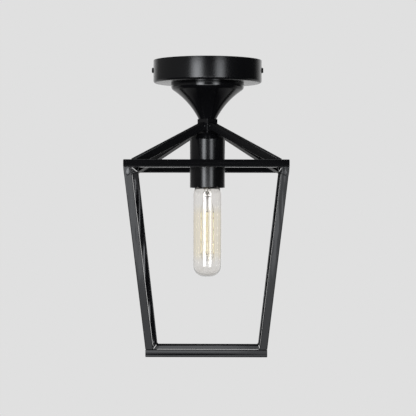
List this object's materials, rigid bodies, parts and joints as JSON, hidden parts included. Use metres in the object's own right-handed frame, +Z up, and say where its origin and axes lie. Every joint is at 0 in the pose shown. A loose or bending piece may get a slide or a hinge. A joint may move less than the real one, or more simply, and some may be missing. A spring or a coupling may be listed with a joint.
{
  "type": "porch ceiling lantern",
  "caption": "Close-ceiling porch lantern: round canopy, trumpet cone and a tapered open cage of square tube round a clear tubular filament bulb that screws out.",
  "frame": {"origin": "centre of the ceiling face of the mounting strap and canopy", "axes": "+Z up into the ceiling, front of the lantern towards -Y, +X to the right seen from the front"},
  "size_m": [0.18, 0.18, 0.33],
  "materials": {
    "black_powder_coat": "satin black powder coat on steel, faint orange peel",
    "zinc_plated_steel": "bright zinc plating",
    "brass": "plain drawn brass",
    "phenolic": "dark moulded phenolic",
    "white_nylon": "natural moulded nylon",
    "brown_insulation": "extruded silicone, brown",
    "blue_insulation": "extruded silicone, blue",
    "green_insulation": "extruded silicone, green and yellow",
    "solder": "tin solder, flowed smooth",
    "nickel_plated_cap": "nickel-plated rolled brass",
    "black_glass": "opaque black fused glass",
    "driver_board": "green solder mask on a glass-fibre board",
    "capacitor_sleeve": "dark shrink sleeve",
    "clear_glass": "clear blown glass with a faint amber tint",
    "filament_phosphor": "yellow phosphor silicone over a glass strip",
    "nickel_wire": "drawn nickel"
  },
  "bodies": {
    "lantern": {"mounting_strap": "zinc_plated_steel", "earth_screw": "brass", "earth_washer": "zinc_plated_steel", "earth_ring_terminal": "brass", "canopy": "black_powder_coat", "canopy_side_screws": "black_powder_coat", "terminal_block": "white_nylon", "terminal_clamps": "brass", "terminal_clamp_screws": "zinc_plated_steel", "terminal_block_screw": "zinc_plated_steel", "terminal_block_nut": "zinc_plated_steel", "live_lead": "brown_insulation", "neutral_lead": "blue_insulation", "earth_lead": "green_insulation", "trumpet_cone": "black_powder_coat", "stem_tube": "zinc_plated_steel", "stem_upper_nut": "zinc_plated_steel", "stem_upper_washer": "zinc_plated_steel", "hub_block": "black_powder_coat", "roof_arm_front_left": "black_powder_coat", "roof_arm_front_right": "black_powder_coat", "roof_arm_back_left": "black_powder_coat", "roof_arm_back_right": "black_powder_coat", "upper_bar_front": "black_powder_coat", "upper_bar_back": "black_powder_coat", "upper_bar_left": "black_powder_coat", "upper_bar_right": "black_powder_coat", "upright_front_left": "black_powder_coat", "upright_front_right": "black_powder_coat", "upright_back_left": "black_powder_coat", "upright_back_right": "black_powder_coat", "lower_bar_front": "black_powder_coat", "lower_bar_back": "black_powder_coat", "lower_bar_left": "black_powder_coat", "lower_bar_right": "black_powder_coat", "lampholder_sleeve": "black_powder_coat", "sleeve_nut": "zinc_plated_steel", "holder_cap": "phenolic", "holder_body": "phenolic", "screw_shell": "brass", "centre_contact": "brass", "contact_rivets": "brass", "holder_terminals": "brass", "holder_terminal_screws": "zinc_plated_steel"},
    "bulb_contact": {"bulb_tip": "solder"},
    "bulb": {"bulb_cap_shell": "nickel_plated_cap", "bulb_cap_insulator": "black_glass", "bulb_driver_board": "driver_board", "bulb_driver_capacitor": "capacitor_sleeve", "bulb_glass": "clear_glass", "bulb_stem": "clear_glass", "filament_sticks": "filament_phosphor", "filament_end_tabs": "nickel_wire", "filament_wires": "nickel_wire"}
  },
  "joints": [
    {"name": "bulb_travel", "type": "slide", "parent": "lantern", "child": "bulb_contact", "axis": [0, 0, -1], "range_m": [0, 0.01815]},
    {"name": "bulb_turn", "type": "hinge", "parent": "bulb_contact", "child": "bulb", "pos_m": [0, 0, -0.13], "axis": [0, 0, -1], "range_deg": [0, 1800]}
  ],
  "couplings": [
    {"joint": "bulb_travel", "follows": "bulb_turn", "m_per_rad": 0.00057757}
  ]
}
